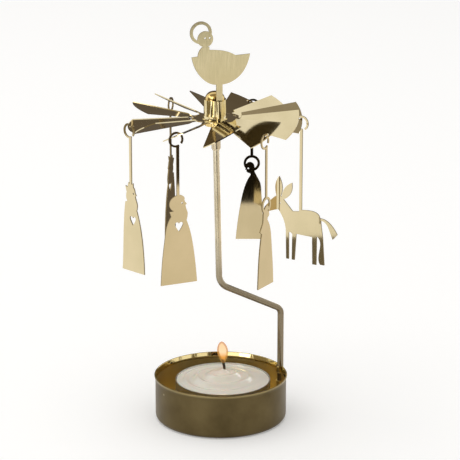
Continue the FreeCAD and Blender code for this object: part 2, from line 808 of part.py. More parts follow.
# Robed figure that walks towards +X, with a head cloth that ends in a step at the back
WALKING_FIGURE_SHARES = [
    ("curve", [(-0.50, 0.20), (-0.42, 0.42), (-0.30, 0.595)]),
    ("line", [(-0.415, 0.617)]),
    ("curve", [(-0.33, 0.66), (-0.225, 0.71), (-0.20, 0.79), (-0.13, 0.85), (0.0, 0.882),
               (0.10, 0.872), (0.14, 0.845)]),
    ("line", [(0.20, 0.812), (0.16, 0.804), (0.165, 0.785)]),
    ("curve", [(0.14, 0.76), (0.075, 0.745), (0.07, 0.72)]),
    ("curve", [(0.225, 0.637), (0.33, 0.46), (0.42, 0.205), (0.46, 0.0)]),
    ("line", [(-0.54, 0.0)]),
]


class Plate:
    """Plate of one figure under its strip, with places on it as shares of its sizes."""

    def __init__(self, name, shares, width, prefix="figure"):
        self.name = name
        self.wide = size(width)
        self.tall = size(prefix + "_height")
        self.foot = -size(prefix + "_drop")
        self.body = doc.addObject("PartDesign::Body", name)
        pad_plate(self.body, "plate", outline_edges(shares, self.wide, self.tall, self.foot,
                                                    strip_shift(name)))

    def across(self, share):
        return strip_shift(self.name) + share * self.wide

    def up(self, share):
        return self.foot + share * self.tall

    def eye(self, place):
        punch(self.body, "eye", circle_at(self.across(place[0]), self.up(place[1]),
                                          size("eye_radius")))


def make_king(name, shares, width, strip_share, heart, eye):
    plate = Plate(name, shares, width)
    add_hanger(plate.body, name, plate.up(strip_share))
    punch(plate.body, "heart", heart_edges(plate.across(heart[0]), plate.up(heart[1]),
                                           size("heart_width"), size("heart_height")))
    plate.eye(eye)
    hang(name, plate.body)


def make_haloed(name, shares, width, halo_share, eye, prefix="figure"):
    """Robed figure whose strip ends at the top of a halo ring round the head."""
    plate = Plate(name, shares, width, prefix)
    middle = plate.up(halo_share)
    radius, stroke = size("halo_radius"), size("halo_stroke")
    pad_plate(plate.body, "halo", ring_edges(plate.across(0), middle, radius, stroke))
    add_hanger(plate.body, name, middle + radius - stroke / 2)
    plate.eye(eye)
    hang(name, plate.body)


# Donkey, cut flat and then bent round an upright line, so that its snout and half of one
# ear turn away. It is the wall that the bend makes, trimmed to the outline seen from its side
DONKEY_BODY_SHARES = [
    ("line", [(0.0, 0.627), (0.09, 0.637)]),
    ("curve", [(0.18, 0.636), (0.255, 0.612), (0.285, 0.565)]),
    ("curve", [(0.315, 0.566), (0.41, 0.535), (0.50, 0.455), (0.54, 0.40)]),
    ("line", [(0.475, 0.335)]),
    ("curve", [(0.425, 0.44), (0.365, 0.52), (0.298, 0.538)]),
    ("curve", [(0.31, 0.45), (0.325, 0.36), (0.333, 0.28)]),
    ("line", [(0.355, 0.0), (0.298, 0.0)]),
    ("curve", [(0.285, 0.17), (0.262, 0.33), (0.25, 0.338), (0.24, 0.325)]),
    ("line", [(0.238, -0.012), (0.182, -0.012), (0.175, 0.322)]),
    ("line", [(-0.06, 0.325)]),
    ("line", [(-0.082, 0.0), (-0.122, 0.0), (-0.118, 0.29)]),
    ("curve", [(-0.135, 0.33), (-0.155, 0.335), (-0.170, 0.30)]),
    ("line", [(-0.168, 0.0), (-0.205, 0.0), (-0.212, 0.30)]),
    ("curve", [(-0.215, 0.37), (-0.245, 0.47), (-0.325, 0.588)]),
    ("curve", [(-0.40, 0.566), (-0.48, 0.535), (-0.545, 0.512)]),
    ("curve", [(-0.577, 0.525), (-0.58, 0.565), (-0.548, 0.603)]),
    ("curve", [(-0.471, 0.677), (-0.365, 0.75)]),
    ("curve", [(-0.388, 0.86), (-0.32, 0.995)]),
    ("curve", [(-0.27, 0.87), (-0.295, 0.755)]),
    ("line", [(-0.28, 0.748)]),
    ("curve", [(-0.235, 0.86), (-0.128, 0.94)]),
    ("curve", [(-0.14, 0.82), (-0.25, 0.72)]),
    ("line", [(-0.115, 0.595), (0.0, 0.61)]),
]
DONKEY_BEND_SHARE = -0.29
DONKEY_EYE_SHARES = (-0.30, 0.67)


def make_donkey():
    name = "donkey_plate"
    length, gauge = size("donkey_length"), size("figure_sheet")
    foot, shift = -size("donkey_drop"), strip_shift(name)
    back = foot + DONKEY_BODY_SHARES[0][1][0][1] * size("donkey_height")
    outline = outline_edges(DONKEY_BODY_SHARES, length, size("donkey_height"), foot, shift)
    strip, ring = hanger_edges(name, back - size("strip_overlap"))
    depth = Vector(0, 0, 2 * length)
    shadow = None
    for edges in (outline, strip, ring):
        face = Part.Face(Part.Wire(Part.__sortEdges__([edge.toShape() for edge in edges])))
        face.translate(depth * -0.5)
        prism = face.extrude(depth)
        shadow = prism if shadow is None else shadow.fuse(prism)
    eye_x, eye_y = DONKEY_EYE_SHARES
    eye = Part.makeCylinder(size("eye_radius"), 2 * length,
                            Vector(shift + eye_x * length,
                                   foot + eye_y * size("donkey_height"), -length))
    shadow = shadow.cut(eye)
    shadow.rotate(Vector(), Vector(1, 0, 0), FULL_TURN / 4)
    solid = bent_wall(shift + DONKEY_BEND_SHARE * length, gauge, length).common(shadow)
    feature = doc.addObject("Part::Feature", name)
    feature.Shape = solid.removeSplitter()
    hang(name, feature)


def bent_wall(bend_x, gauge, length):
    """Upright wall of sheet: straight along X, then bent towards +Y beyond a place."""
    radius, turn = size("snout_bend_radius"), math.radians(SNOUT_BEND)
    centre = Vector(bend_x, radius, 0)

    def side(offset):
        reach = radius - offset
        middle = centre + Vector(-reach * math.sin(turn / 2), -reach * math.cos(turn / 2), 0)
        end = centre + Vector(-reach * math.sin(turn), -reach * math.cos(turn), 0)
        tail = end + Vector(-math.cos(turn), math.sin(turn), 0) * length
        first = Vector(length, offset, 0)
        bend = Vector(bend_x, offset, 0)
        return first, bend, middle, end, tail
    near, far = side(-gauge / 2), side(gauge / 2)
    edges = [
        Part.LineSegment(near[0], near[1]), Part.Arc(near[1], near[2], near[3]),
        Part.LineSegment(near[3], near[4]), Part.LineSegment(near[4], far[4]),
        Part.LineSegment(far[4], far[3]), Part.Arc(far[3], far[2], far[1]),
        Part.LineSegment(far[1], far[0]), Part.LineSegment(far[0], near[0]),
    ]
    face = Part.Face(Part.Wire([edge.toShape() for edge in edges]))
    drop = size("donkey_drop") + size("overrun")
    face.translate(Vector(0, 0, -drop))
    return face.extrude(Vector(0, 0, drop + size("ring_radius") + size("overrun")))


# Cradle plate: a bowl with the blanket's curve over its rim, head and halo ring above, and
# a stem that drops into the collar's channel. Shares are of the bowl's width and depth
CRADLE_SHARES = [
    ("curve", [(-0.425, 0.65), (-0.33, 0.33), (-0.205, 0.10), (-0.055, 0.0)]),
    ("line", [(0.055, 0.0)]),
    ("curve", [(0.235, 0.10), (0.385, 0.34), (0.475, 0.64), (0.527, 1.0)]),
    ("line", [(0.28, 0.98)]),
    ("curve", [(0.24, 1.03), (0.12, 1.135), (-0.04, 1.2), (-0.17, 1.22)]),
    ("line", [(-0.172, 1.33), (-0.292, 1.33)]),
    ("curve", [(-0.34, 1.22), (-0.37, 1.02)]),
    ("line", [(-0.473, 1.0)]),
]
INFANT_HEAD_SHARES = (-0.24, 1.60)
INFANT_HALO_SHARES = (-0.315, 1.83)
INFANT_EYE_SHARES = (0.28, 0.12)


def make_cradle_plate():
    body = doc.addObject("PartDesign::Body", "cradle_plate")
    width, depth = size("cradle_width"), size("cradle_depth")
    foot = size("cradle_rise") - depth
    shift = size("cradle_shift")
    pad_plate(body, "bowl", outline_edges(CRADLE_SHARES, width, depth, foot, shift))
    half = size("cradle_stem_width") / 2
    seat = size("rotor_sheet") / 2 + size("cradle_stem_seat")
    pad_plate(body, "stem", bar_edges(shift - half, shift + half, seat,
                                      foot + size("strip_overlap")))
    head_x, head_y = INFANT_HEAD_SHARES
    head = (shift + head_x * width, foot + head_y * depth)
    pad_plate(body, "head", circle_at(head[0], head[1], size("infant_head_radius")))
    halo_x, halo_y = INFANT_HALO_SHARES
    pad_plate(body, "halo", ring_edges(shift + halo_x * width, foot + halo_y * depth,
                                       size("infant_halo_radius"), size("infant_halo_stroke")))
    for side in (-1, 1):
        eye_x = head[0] + size("infant_head_radius") * (INFANT_EYE_SHARES[0] + 0.3 * side)
        eye_z = head[1] + size("infant_head_radius") * INFANT_EYE_SHARES[1]
        punch(body, "eye", circle_at(eye_x, eye_z, size("eye_radius")))
    front = size("cap_radius") + size("fit_gap") + size("figure_sheet") / 2
    facing = cradle_rotation()
    place = rotor_centre() + facing.multVec(Vector(0, -front, 0))
    keep("cradle_plate", body, Placement(place, facing))


# Tea light, loose in the cup: aluminium cup, wax with a raised cone, wick and its tin foot
def light_placement():
    centre = Vector(size("light_offset"), -size("light_side_offset"), size("cup_wall"))
    return Placement(centre, Rotation())


def make_tealight_cup():
    body = turned_body("tealight_cup", [
        ("0", "0"),
        ("sizes.light_radius", "0"),
        ("sizes.light_radius", "sizes.light_height"),
        ("sizes.light_radius - sizes.light_wall", "sizes.light_height"),
        ("sizes.light_radius - sizes.light_wall", "sizes.light_wall"),
        ("0", "sizes.light_wall"),
    ])
    radius, wall = size("light_radius"), size("light_wall")
    round_edges(body, "light_corner_outside", "sizes.light_corner", [(radius, 0)])
    round_edges(body, "light_corner_inside", "sizes.light_corner - sizes.light_wall",
                [(radius - wall, wall)])
    keep("tealight_cup", body, light_placement())


# Radius and rise of the wax surface, as shares of the wax's radius and of its rise: the
# melted pool set in three shallow steps round a cone
WAX_STEP_SHARES = [(1.0, 0.0), (0.86, 0.06), (0.67, 0.16), (0.63, 0.26), (0.43, 0.38),
                   (0.39, 0.50), (0.22, 0.66), (0.185, 0.76)]


def make_tealight_wax():
    wax_radius = "(sizes.light_radius - sizes.light_wall - sizes.wax_gap)"
    floor = "(sizes.light_wall + sizes.wax_gap)"
    edge = "(sizes.light_height - sizes.wax_edge_drop)"
    corners = [("0", floor), (wax_radius + " - sizes.light_corner", floor),
               (wax_radius, floor + " + sizes.light_corner")]
    corners += [("%s * %r" % (wax_radius, out), "%s + sizes.wax_rise * %r" % (edge, up))
                for out, up in WAX_STEP_SHARES]
    corners += [("sizes.wax_top_radius", edge + " + sizes.wax_rise"),
                ("0", edge + " + sizes.wax_rise")]
    block = turned_body("wax_block", corners)
    wick_line = doc.addObject("Part::Cylinder", "wick_bore")
    wick_line.setExpression("Radius", "sizes.wick_radius + sizes.wax_gap")
    wick_line.setExpression("Height", "sizes.light_height + sizes.wax_rise")
    disc = doc.addObject("Part::Cylinder", "sustainer_room")
    disc.setExpression("Radius", "sizes.sustainer_radius + sizes.wax_gap")
    disc.setExpression("Height", floor + " + sizes.sustainer_sheet")
    neck = doc.addObject("Part::Cylinder", "sustainer_neck_room")
    neck.setExpression("Radius", "sizes.sustainer_neck_radius + sizes.wax_gap")
    neck.setExpression("Height", floor + " + sizes.sustainer_neck_height")
    for tool in (wick_line, disc, neck):
        tool.Placement = Placement(Vector(size("wick_offset"), 0, 0), Rotation())
    room = doc.addObject("Part::MultiFuse", "wax_room")
    room.Shapes = [wick_line, disc, neck]
    cut = doc.addObject("Part::Cut", "tealight_wax")
    cut.Base = block
    cut.Tool = room
    doc.recompute()
    keep("tealight_wax", cut, light_placement())


def make_wick_sustainer():
    floor = "sizes.light_wall"
    bore = "sizes.wick_radius + sizes.wax_gap"
    body = turned_body("wick_sustainer", [
        (bore, floor),
        ("sizes.sustainer_radius", floor),
        ("sizes.sustainer_radius", floor + " + sizes.sustainer_sheet"),
        ("sizes.sustainer_neck_radius", floor + " + sizes.sustainer_sheet"),
        ("sizes.sustainer_neck_radius", floor + " + sizes.sustainer_neck_height"),
        (bore, floor + " + sizes.sustainer_neck_height"),
    ])
    place = light_placement()
    place.Base = place.Base + Vector(size("wick_offset"), 0, 0)
    keep("wick_sustainer", body, place)


def make_tealight_wick():
    top = Vector(-size("wick_lean"), 0, size("wick_top_height"))
    path = rounded_path([
        Vector(0, 0, size("light_wall")),
        Vector(0, 0, size("wick_bend_height")),
        top,
    ], [size("wick_bend_radius")])
    wick = swept_wire("tealight_wick", path, "sizes.wick_radius")
    place = light_placement()
    place.Base = place.Base + Vector(size("wick_offset"), 0, 0)
    keep("tealight_wick", wick, place)


make_candle_cup()
make_stand_wire()
make_needle_ferrule()
make_pivot_needle()
make_bearing_cap()
make_hub_collar()
make_rotor_disc()
make_cradle_plate()
make_king("crowned_king_plate", CROWNED_KING_SHARES, "king_width", 0.96,
          (0.09, 0.625), (0.135, 0.885))
make_king("tall_crown_king_plate", TALL_CROWN_KING_SHARES, "king_width", 0.95,
          (-0.09, 0.69), (-0.135, 0.885))
make_king("turban_king_plate", TURBAN_KING_SHARES, "turban_king_width", 0.95,
          (0.02, 0.678), (0.11, 0.885))
make_haloed("praying_figure_plate", PRAYING_FIGURE_SHARES, "praying_figure_width", 0.918,
            (-0.125, 0.855), "praying_figure")
make_haloed("walking_figure_plate", WALKING_FIGURE_SHARES, "walking_figure_width", 0.887,
            (0.105, 0.825), "walking_figure")
make_donkey()
make_tealight_cup()
make_tealight_wax()
make_tealight_wick()
make_wick_sustainer()
doc.recompute()

faults = []
for item in doc.Objects:
    if "Invalid" in item.State or "Error" in item.State:
        faults.append("%s is %s" % (item.Name, item.State))
for name, item in PARTS.items():
    shape = item.Shape
    if shape.isNull() or not shape.isValid() or not shape.Solids:
        faults.append("%s has no valid solid" % name)
if faults:
    raise ValueError("; ".join(faults))

os.makedirs("parts", exist_ok=True)
for name, item in PARTS.items():
    item.Shape.exportStep("parts/%s.step" % name)
    print("%-24s %d solid, %.1f mm3" % (name, len(item.Shape.Solids), item.Shape.Volume))
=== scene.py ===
import math
import bmesh
import bpy
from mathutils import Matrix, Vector


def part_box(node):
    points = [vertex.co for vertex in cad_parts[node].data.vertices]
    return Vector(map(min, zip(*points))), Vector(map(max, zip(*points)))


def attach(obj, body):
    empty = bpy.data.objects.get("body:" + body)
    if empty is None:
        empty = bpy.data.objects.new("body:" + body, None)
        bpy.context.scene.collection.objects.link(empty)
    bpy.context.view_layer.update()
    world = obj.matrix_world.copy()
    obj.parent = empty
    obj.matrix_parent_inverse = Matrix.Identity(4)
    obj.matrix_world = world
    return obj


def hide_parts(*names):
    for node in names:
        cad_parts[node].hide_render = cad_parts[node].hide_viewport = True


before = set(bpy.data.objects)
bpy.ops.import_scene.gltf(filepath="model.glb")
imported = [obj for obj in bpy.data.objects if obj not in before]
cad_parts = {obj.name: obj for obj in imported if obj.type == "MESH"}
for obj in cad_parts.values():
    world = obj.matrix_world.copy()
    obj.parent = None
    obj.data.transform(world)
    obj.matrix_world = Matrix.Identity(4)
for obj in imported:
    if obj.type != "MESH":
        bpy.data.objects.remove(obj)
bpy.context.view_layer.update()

scene = bpy.context.scene
scene.view_settings.view_transform = "Standard"

# Camera. It stands 0.87 m from the cup's middle and 0.34 m above the table, and looks 17 degrees
# down. It is turned 22 degrees about the cup, so that the wire's lower leg shows on the right.
VIEW_TURN = math.radians(-22)
VIEW_TILT = math.radians(16.561)
camera_data = bpy.data.cameras.new("camera")
camera_data.lens = 180.7
camera_data.sensor_width = 36
camera = bpy.data.objects.new("camera", camera_data)
camera.location = (-0.3225, -0.8081, 0.3366)
camera.rotation_euler = (math.radians(90) - VIEW_TILT, 0, VIEW_TURN)
scene.collection.objects.link(camera)
scene.camera = camera


# Table. A pale matt sheet that runs far past the view. It keeps the soft shadow of the cup,
# and a little of its white is its own, so that it meets the white background with no line.
def colour(text):
    """Linear colour of a written sRGB one."""
    shares = [int(text[start:start + 2], 16) / 255 for start in (1, 3, 5)]
    return tuple(c / 12.92 if c <= 0.04045 else ((c + 0.055) / 1.055) ** 2.4
                 for c in shares) + (1.0,)


def add_node(tree, kind, inputs=None, **settings):
    """A node with its settings, and its inputs set to values or joined to outputs."""
    made = tree.nodes.new(kind)
    for name, value in settings.items():
        setattr(made, name, value)
    for name, value in (inputs or {}).items():
        if isinstance(value, bpy.types.NodeSocket):
            tree.links.new(value, made.inputs[name])
        else:
            made.inputs[name].default_value = value
    return made


def new_material(name):
    """An empty material, its node tree and the output node."""
    material = bpy.data.materials.new(name)
    material.use_nodes = True
    material.node_tree.nodes.clear()
    output = add_node(material.node_tree, "ShaderNodeOutputMaterial")
    return material, material.node_tree, output


def backdrop_share(tree):
    """1 for the rays that are to find the white background: sight, gloss and glass."""
    path = add_node(tree, "ShaderNodeLightPath")
    seen = add_node(tree, "ShaderNodeMath", {0: path.outputs["Is Camera Ray"],
                                             1: path.outputs["Is Glossy Ray"]},
                    operation="ADD")
    return add_node(tree, "ShaderNodeMath", {0: seen.outputs[0],
                                             1: path.outputs["Is Transmission Ray"]},
                    operation="ADD", use_clamp=True).outputs[0]


def new_object(name, mesh):
    """Object that shows a mesh."""
    made = bpy.data.objects.new(name, mesh)
    scene.collection.objects.link(made)
    return made


def new_sheet(name, corners):
    """Flat sheet with four corners."""
    mesh = bpy.data.meshes.new(name)
    mesh.from_pydata(corners, [], [(0, 1, 2, 3)])
    return new_object(name, mesh)


TABLE_HALF = 3.0
TABLE_DROP = 0.0001
TABLE_OWN_WHITE = 0.22
table = new_sheet("table", [(-TABLE_HALF, -TABLE_HALF, -TABLE_DROP),
                            (TABLE_HALF, -TABLE_HALF, -TABLE_DROP),
                            (TABLE_HALF, TABLE_HALF, -TABLE_DROP),
                            (-TABLE_HALF, TABLE_HALF, -TABLE_DROP)])
table_paper, tree, output = new_material("matt white paper")
paper = add_node(tree, "ShaderNodeBsdfDiffuse", {"Color": colour("#efeeec")})
own_white = add_node(tree, "ShaderNodeMath", {0: backdrop_share(tree), 1: TABLE_OWN_WHITE},
                     operation="MULTIPLY")
glow = add_node(tree, "ShaderNodeEmission", {"Color": colour("#ffffff"),
                                             "Strength": own_white.outputs[0]})
both = add_node(tree, "ShaderNodeAddShader", {0: paper.outputs[0], 1: glow.outputs[0]})
tree.links.new(both.outputs[0], output.inputs["Surface"])
table.data.materials.append(table_paper)

# Room. A white tent round the table: full white for sight and for gloss, so that the
# background stays clean, and a weaker even white for everything that it lights.
ROOM_FILL = 0.6
room = bpy.data.worlds.new("room")
scene.world = room
room.use_nodes = True
room.node_tree.nodes.clear()
room_strength = add_node(room.node_tree, "ShaderNodeMapRange",
                         {"Value": backdrop_share(room.node_tree), "To Min": ROOM_FILL,
                          "To Max": 1.0})
air = add_node(room.node_tree, "ShaderNodeBackground",
               {"Color": colour("#ffffff"), "Strength": room_strength.outputs[0]})
room_output = add_node(room.node_tree, "ShaderNodeOutputWorld")
room.node_tree.links.new(air.outputs[0], room_output.inputs["Surface"])


# Lamp. One wide soft lamp above and a little to the left, out of sight of the brass, which
# finds the cards below in its place.
def from_view(right, away, up):
    """Point given as seen from the camera's side, in metres from the cup's middle."""
    return Vector((right * math.cos(VIEW_TURN) - away * math.sin(VIEW_TURN),
                   right * math.sin(VIEW_TURN) + away * math.cos(VIEW_TURN), up))


lamp_data = bpy.data.lights.new("soft_lamp", "AREA")
lamp_data.shape = "SQUARE"
lamp_data.size = 2.4
lamp_data.energy = 20.0
lamp = bpy.data.objects.new("soft_lamp", lamp_data)
lamp.location = from_view(-0.5, -0.1, 2.0)
lamp.rotation_euler = (-lamp.location).to_track_quat("-Z", "Y").to_euler()
lamp.visible_glossy = False
scene.collection.objects.link(lamp)

# Studio cards. Brass shows what stands round it: low flags on most sides, dark walls, a scrim
# and a bright window in front, mats on the table, light boxes high behind, overhead and on the
# left, and three small low lights, two front left and one behind. Only glossy rays find them.
def upright(left, right, away, low, high):
    """Corners of a card that stands square to the view."""
    return [(left, away, low), (right, away, low), (right, away, high), (left, away, high)]


def lying(left, right, near, far, up):
    """Corners of a level card."""
    return [(left, near, up), (right, near, up), (right, far, up), (left, far, up)]


MAT_RISE = 0.0002
LOW_FLAG_RISE = 0.0003
CARDS = {
    "front_flag": (upright(-0.035, 0.1, -0.255, 0, 0.1), "#16130f", 1.0),
    "slim_flag": (upright(-0.225, -0.2, -0.255, 0, 0.058), "#16130f", 1.0),
    "front_step": (upright(-0.28, 0.2, -0.2555, 0.1, 0.2), "#241d15", 1.0),
    "front_window": (upright(-0.32, -0.11, -0.256, 0.2, 0.45), "#fffaf0", 2.6),
    "front_scrim": (upright(-0.11, 0.0, -0.256, 0.2, 0.7), "#b9ad8c", 1.0),
    "front_wall": (upright(0.0, 0.12, -0.256, 0.2, 0.7), "#3d362d", 1.0),
    "near_lip_flag": (upright(0.1, 0.118, -0.2555, 0.03, 0.1), "#736a56", 1.0),
    "far_lip_flag": (upright(0.25, 0.36, -0.2555, 0.03, 0.1), "#736a56", 1.0),
    "front_slit": (upright(-0.3, 0.0, -0.2552, 0.147, 0.166), "#92866a", 1.0),
    "wax_light": (upright(0.039, 0.08, 0.09, 0.03, 0.085), "#ffffff", 2.5),
    "back_mat": ([(-0.09, 0.05, MAT_RISE), (0.03, 0.05, MAT_RISE), (0.03, 0.106, MAT_RISE),
                  (-0.09, 0.091, MAT_RISE)], "#645b50", 1.0),
    "lip_light": (upright(-0.36, -0.17, -0.2535, 0.058, 0.1), "#ffffff", 4.0),
    "left_flag": ([(-0.42, -0.36, 0.02), (-0.42, 0.03, 0.02), (-0.42, 0.03, 0.26),
                   (-0.42, -0.36, 0.26)], "#857a62", 1.0),
    "right_flag": ([(0.2585, -0.2946, 0), (0.3005, -0.2446, 0), (0.3005, -0.2446, 0.05),
                    (0.2585, -0.2946, 0.05)], "#3a3024", 1.0),
    "low_flag": ([(-0.171, -0.155, LOW_FLAG_RISE), (-0.219, -0.045, LOW_FLAG_RISE),
                  (-0.166, -0.022, LOW_FLAG_RISE), (-0.118, -0.132, LOW_FLAG_RISE)],
                 "#756e62", 1.0),
    "left_mat": ([(-0.3, -0.215, MAT_RISE), (-0.2, -0.17, MAT_RISE), (-0.2, -0.138, MAT_RISE),
                  (-0.3, -0.17, MAT_RISE)], "#2a241b", 1.0),
    "near_mat": (lying(-0.03, 0.05, -0.2545, -0.16, MAT_RISE), "#ebe6df", 1.0),
    "right_mat": (lying(0.12, 0.7, -0.5, 0.3, MAT_RISE), "#efe7dd", 1.0),
    "back_flag": ([(-0.09, 0.091, 0), (0.105, 0.116, 0), (0.105, 0.116, 0.224),
                   (-0.09, 0.091, 0.224)], "#645b50", 1.0),
    "back_light_box": (lying(-0.33, 0.33, 0.085, 0.29, 0.42), "#ffffff", 1.0),
    "top_light_box": (lying(-0.33, 0.33, -0.2, 0.083, 0.425), "#a39c92", 1.0),
    "left_light_box": ([(-0.42, -0.28, 0.36), (-0.42, 0.05, 0.36), (-0.26, 0.05, 0.54),
                        (-0.26, -0.28, 0.54)], "#fffaf0", 2.4),
    "strip_light": (upright(-0.17, -0.04, -0.25, 0.02, 0.1), "#ffffff", 1.6),
}
for card_name, (corners, tone, strength) in CARDS.items():
    card = new_sheet(card_name, [from_view(*corner) for corner in corners])
    card_paint, tree, output = new_material(card_name + " card")
    glow = add_node(tree, "ShaderNodeEmission", {"Color": colour(tone), "Strength": strength})
    tree.links.new(glow.outputs[0], output.inputs["Surface"])
    card.data.materials.append(card_paint)
    card.visible_camera = False
    card.visible_diffuse = False
    card.visible_shadow = False
    card.visible_transmission = False


# Rotor sheet. One disc of half-hard brass sheet, sheared into twelve blades that are twisted at
# their necks. Bright rolled finish under clear lacquer, so it mirrors the room a little blurred.
# Its fine marks are coarser than real rolling lines, so that they show on the upright plates.
BRASS_DRIFT_SIZE = 0.014
BRASS_WAVE_SIZE = 0.011
ROLLING_STRETCH = 0.08


def brass(name, pale, deep, roughness, streak, waviness):
    """Brass whose tone drifts, with upright rolling lines and gentle waves. The lines' width
    and the waves' depth are in metres."""
    material, tree, output = new_material(name)
    place = add_node(tree, "ShaderNodeTexCoord").outputs["Object"]
    drift = add_node(tree, "ShaderNodeTexNoise", {"Vector": place,
                                                  "Scale": 1 / BRASS_DRIFT_SIZE,
                                                  "Detail": 3.0})
    ramp = add_node(tree, "ShaderNodeValToRGB", {"Fac": drift.outputs["Fac"]})
    ramp.color_ramp.elements[0].position = 0.35
    ramp.color_ramp.elements[0].color = colour(deep)
    ramp.color_ramp.elements[1].position = 0.65
    ramp.color_ramp.elements[1].color = colour(pale)
    stretched = add_node(tree, "ShaderNodeMapping",
                         {"Vector": place, "Scale": (1.0, 1.0, ROLLING_STRETCH)})
    lines = add_node(tree, "ShaderNodeTexNoise", {"Vector": stretched.outputs[0],
                                                  "Scale": 1 / streak, "Detail": 4.0})
    gloss = add_node(tree, "ShaderNodeMapRange",
                     {"Value": lines.outputs["Fac"], "From Min": 0.3, "From Max": 0.7,
                      "To Min": roughness * 0.8, "To Max": roughness * 1.25})
    waves = add_node(tree, "ShaderNodeTexNoise", {"Vector": place,
                                                  "Scale": 1 / BRASS_WAVE_SIZE,
                                                  "Detail": 1.0})
    relief = add_node(tree, "ShaderNodeMath", {0: lines.outputs["Fac"], 1: 0.02,
                                               2: waves.outputs["Fac"]},
                      operation="MULTIPLY_ADD")
    bump = add_node(tree, "ShaderNodeBump", {"Height": relief.outputs[0], "Strength": 1.0,
                                             "Distance": waviness})
    metal = add_node(tree, "ShaderNodeBsdfPrincipled",
                     {"Base Color": ramp.outputs["Color"], "Metallic": 1.0,
                      "Roughness": gloss.outputs[0], "Normal": bump.outputs[0]})
    tree.links.new(metal.outputs[0], output.inputs["Surface"])
    return material


def dress(node_name, material):
    """Give a CAD node its finish."""
    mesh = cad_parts[node_name].data
    mesh.materials.clear()
    mesh.materials.append(material)


dress("rotor_disc", brass("polished brass rotor sheet", "#e2d3ab", "#d8c9a0", 0.08,
                          streak=0.0004, waviness=0.000006))

# Hanging figures. Six plates cut out of the same brass sheet, each in one piece with the thin
# strip and open ring that it hangs by. Shearing leaves their edges dull and darker than their
# polished faces, so each plate has a fine outline.
SHEARED_EDGE = "#8c7c5a"
# A surface is edge below the first cosine of its turn from the face, and face above the second
EDGE_COSINE = 0.5
FACE_COSINE = 0.7


def only_node(tree, kind):
    """The one node of a kind in a tree."""
    return next(node for node in tree.nodes if node.type == kind)


def dress_plate(node_name, material, facing):
    """Give a flat plate its finish and dull edges. Its face looks along an angle in degrees
    from +X, and a surface turned far from that angle is an edge."""
    tree = material.node_tree
    edge = add_node(tree, "ShaderNodeBsdfPrincipled",
                    {"Base Color": colour(SHEARED_EDGE), "Metallic": 1.0, "Roughness": 0.45})
    turn = math.radians(facing)
    across = add_node(tree, "ShaderNodeVectorMath",
                      {0: add_node(tree, "ShaderNodeTexCoord").outputs["Normal"],
                       1: (math.cos(turn), math.sin(turn), 0.0)},
                      operation="DOT_PRODUCT")
    flatness = add_node(tree, "ShaderNodeMath", {0: across.outputs["Value"]},
                        operation="ABSOLUTE")
    on_face = add_node(tree, "ShaderNodeMapRange",
                       {"Value": flatness.outputs[0], "From Min": EDGE_COSINE,
                        "From Max": FACE_COSINE})
    both = add_node(tree, "ShaderNodeMixShader",
                    {0: on_face.outputs[0], 1: edge.outputs[0],
                     2: only_node(tree, "BSDF_PRINCIPLED").outputs[0]})
    tree.links.new(both.outputs[0], only_node(tree, "OUTPUT_MATERIAL").inputs["Surface"])
    dress(node_name, material)


for figure, facing in (("crowned_king", 23.0), ("tall_crown_king", 140.0),
                       ("turban_king", 93.0), ("praying_figure", 68.0),
                       ("walking_figure", 128.0), ("donkey", 35.0)):
    dress_plate(figure + "_plate",
                brass("polished brass sheet, " + figure.replace("_", " "), "#dfcfa8", "#d7c8a0",
                      0.045, streak=0.0004, waviness=0.000006), facing)

# Cradle plate. A flat plate on a stem, pushed into the hub collar's channel, so it turns with
# the rotor. Same sheet, a little more matt from handling.
dress_plate("cradle_plate", brass("satin brass cradle plate", "#dccfa6", "#d3c69b", 0.14,
                                  streak=0.0005, waviness=0.000004), 86.0)

# Hub. A deep-drawn thimble that turns on the needle, and a collar pressed round it. Drawing
# leaves both very bright, in a warmer brass, and slightly out of true, so that the reflections
# run down them as uneven bands.
dress("bearing_cap", brass("bright drawn brass cap", "#f0d592", "#e2c27c", 0.07,
                           streak=0.0006, waviness=0.00001))
dress("hub_collar", brass("bright drawn brass collar", "#f4e6bc", "#e8d7a2", 0.05,
                          streak=0.0006, waviness=0.00004))

# Wire stand and ferrule. Drawn brass wire, bent cold by hand, its skin dull and a little grey,
# darker and greyer towards the bottom. The ferrule is a turned brass sleeve, as satin.
WIRE_DULL_BELOW = 0.054
WIRE_BRIGHT_ABOVE = 0.076
wire_brass = brass("satin drawn brass wire", "#eadfc4", "#d4c7a9", 0.28, streak=0.0002,
                   waviness=0.00002)
tree = wire_brass.node_tree
metal = only_node(tree, "BSDF_PRINCIPLED")
bright = metal.inputs["Base Color"].links[0].from_socket
place = add_node(tree, "ShaderNodeTexCoord").outputs["Object"]
level = add_node(tree, "ShaderNodeSeparateXYZ", {"Vector": place}).outputs["Z"]
lower_darkening = add_node(tree, "ShaderNodeMapRange",
                {"Value": level, "From Min": WIRE_DULL_BELOW, "From Max": WIRE_BRIGHT_ABOVE,
                 "To Min": 0.9, "To Max": 0.0})
darkened_low = add_node(tree, "ShaderNodeMixRGB", {"Fac": lower_darkening.outputs[0], "Color1": bright,
                                           "Color2": colour("#7f725c")})
tree.links.new(darkened_low.outputs[0], metal.inputs["Base Color"])
dress("stand_wire", wire_brass)
dress("needle_ferrule", brass("satin turned brass", "#d8c9aa", "#c6b796", 0.25, streak=0.0002,
                              waviness=0.00002))

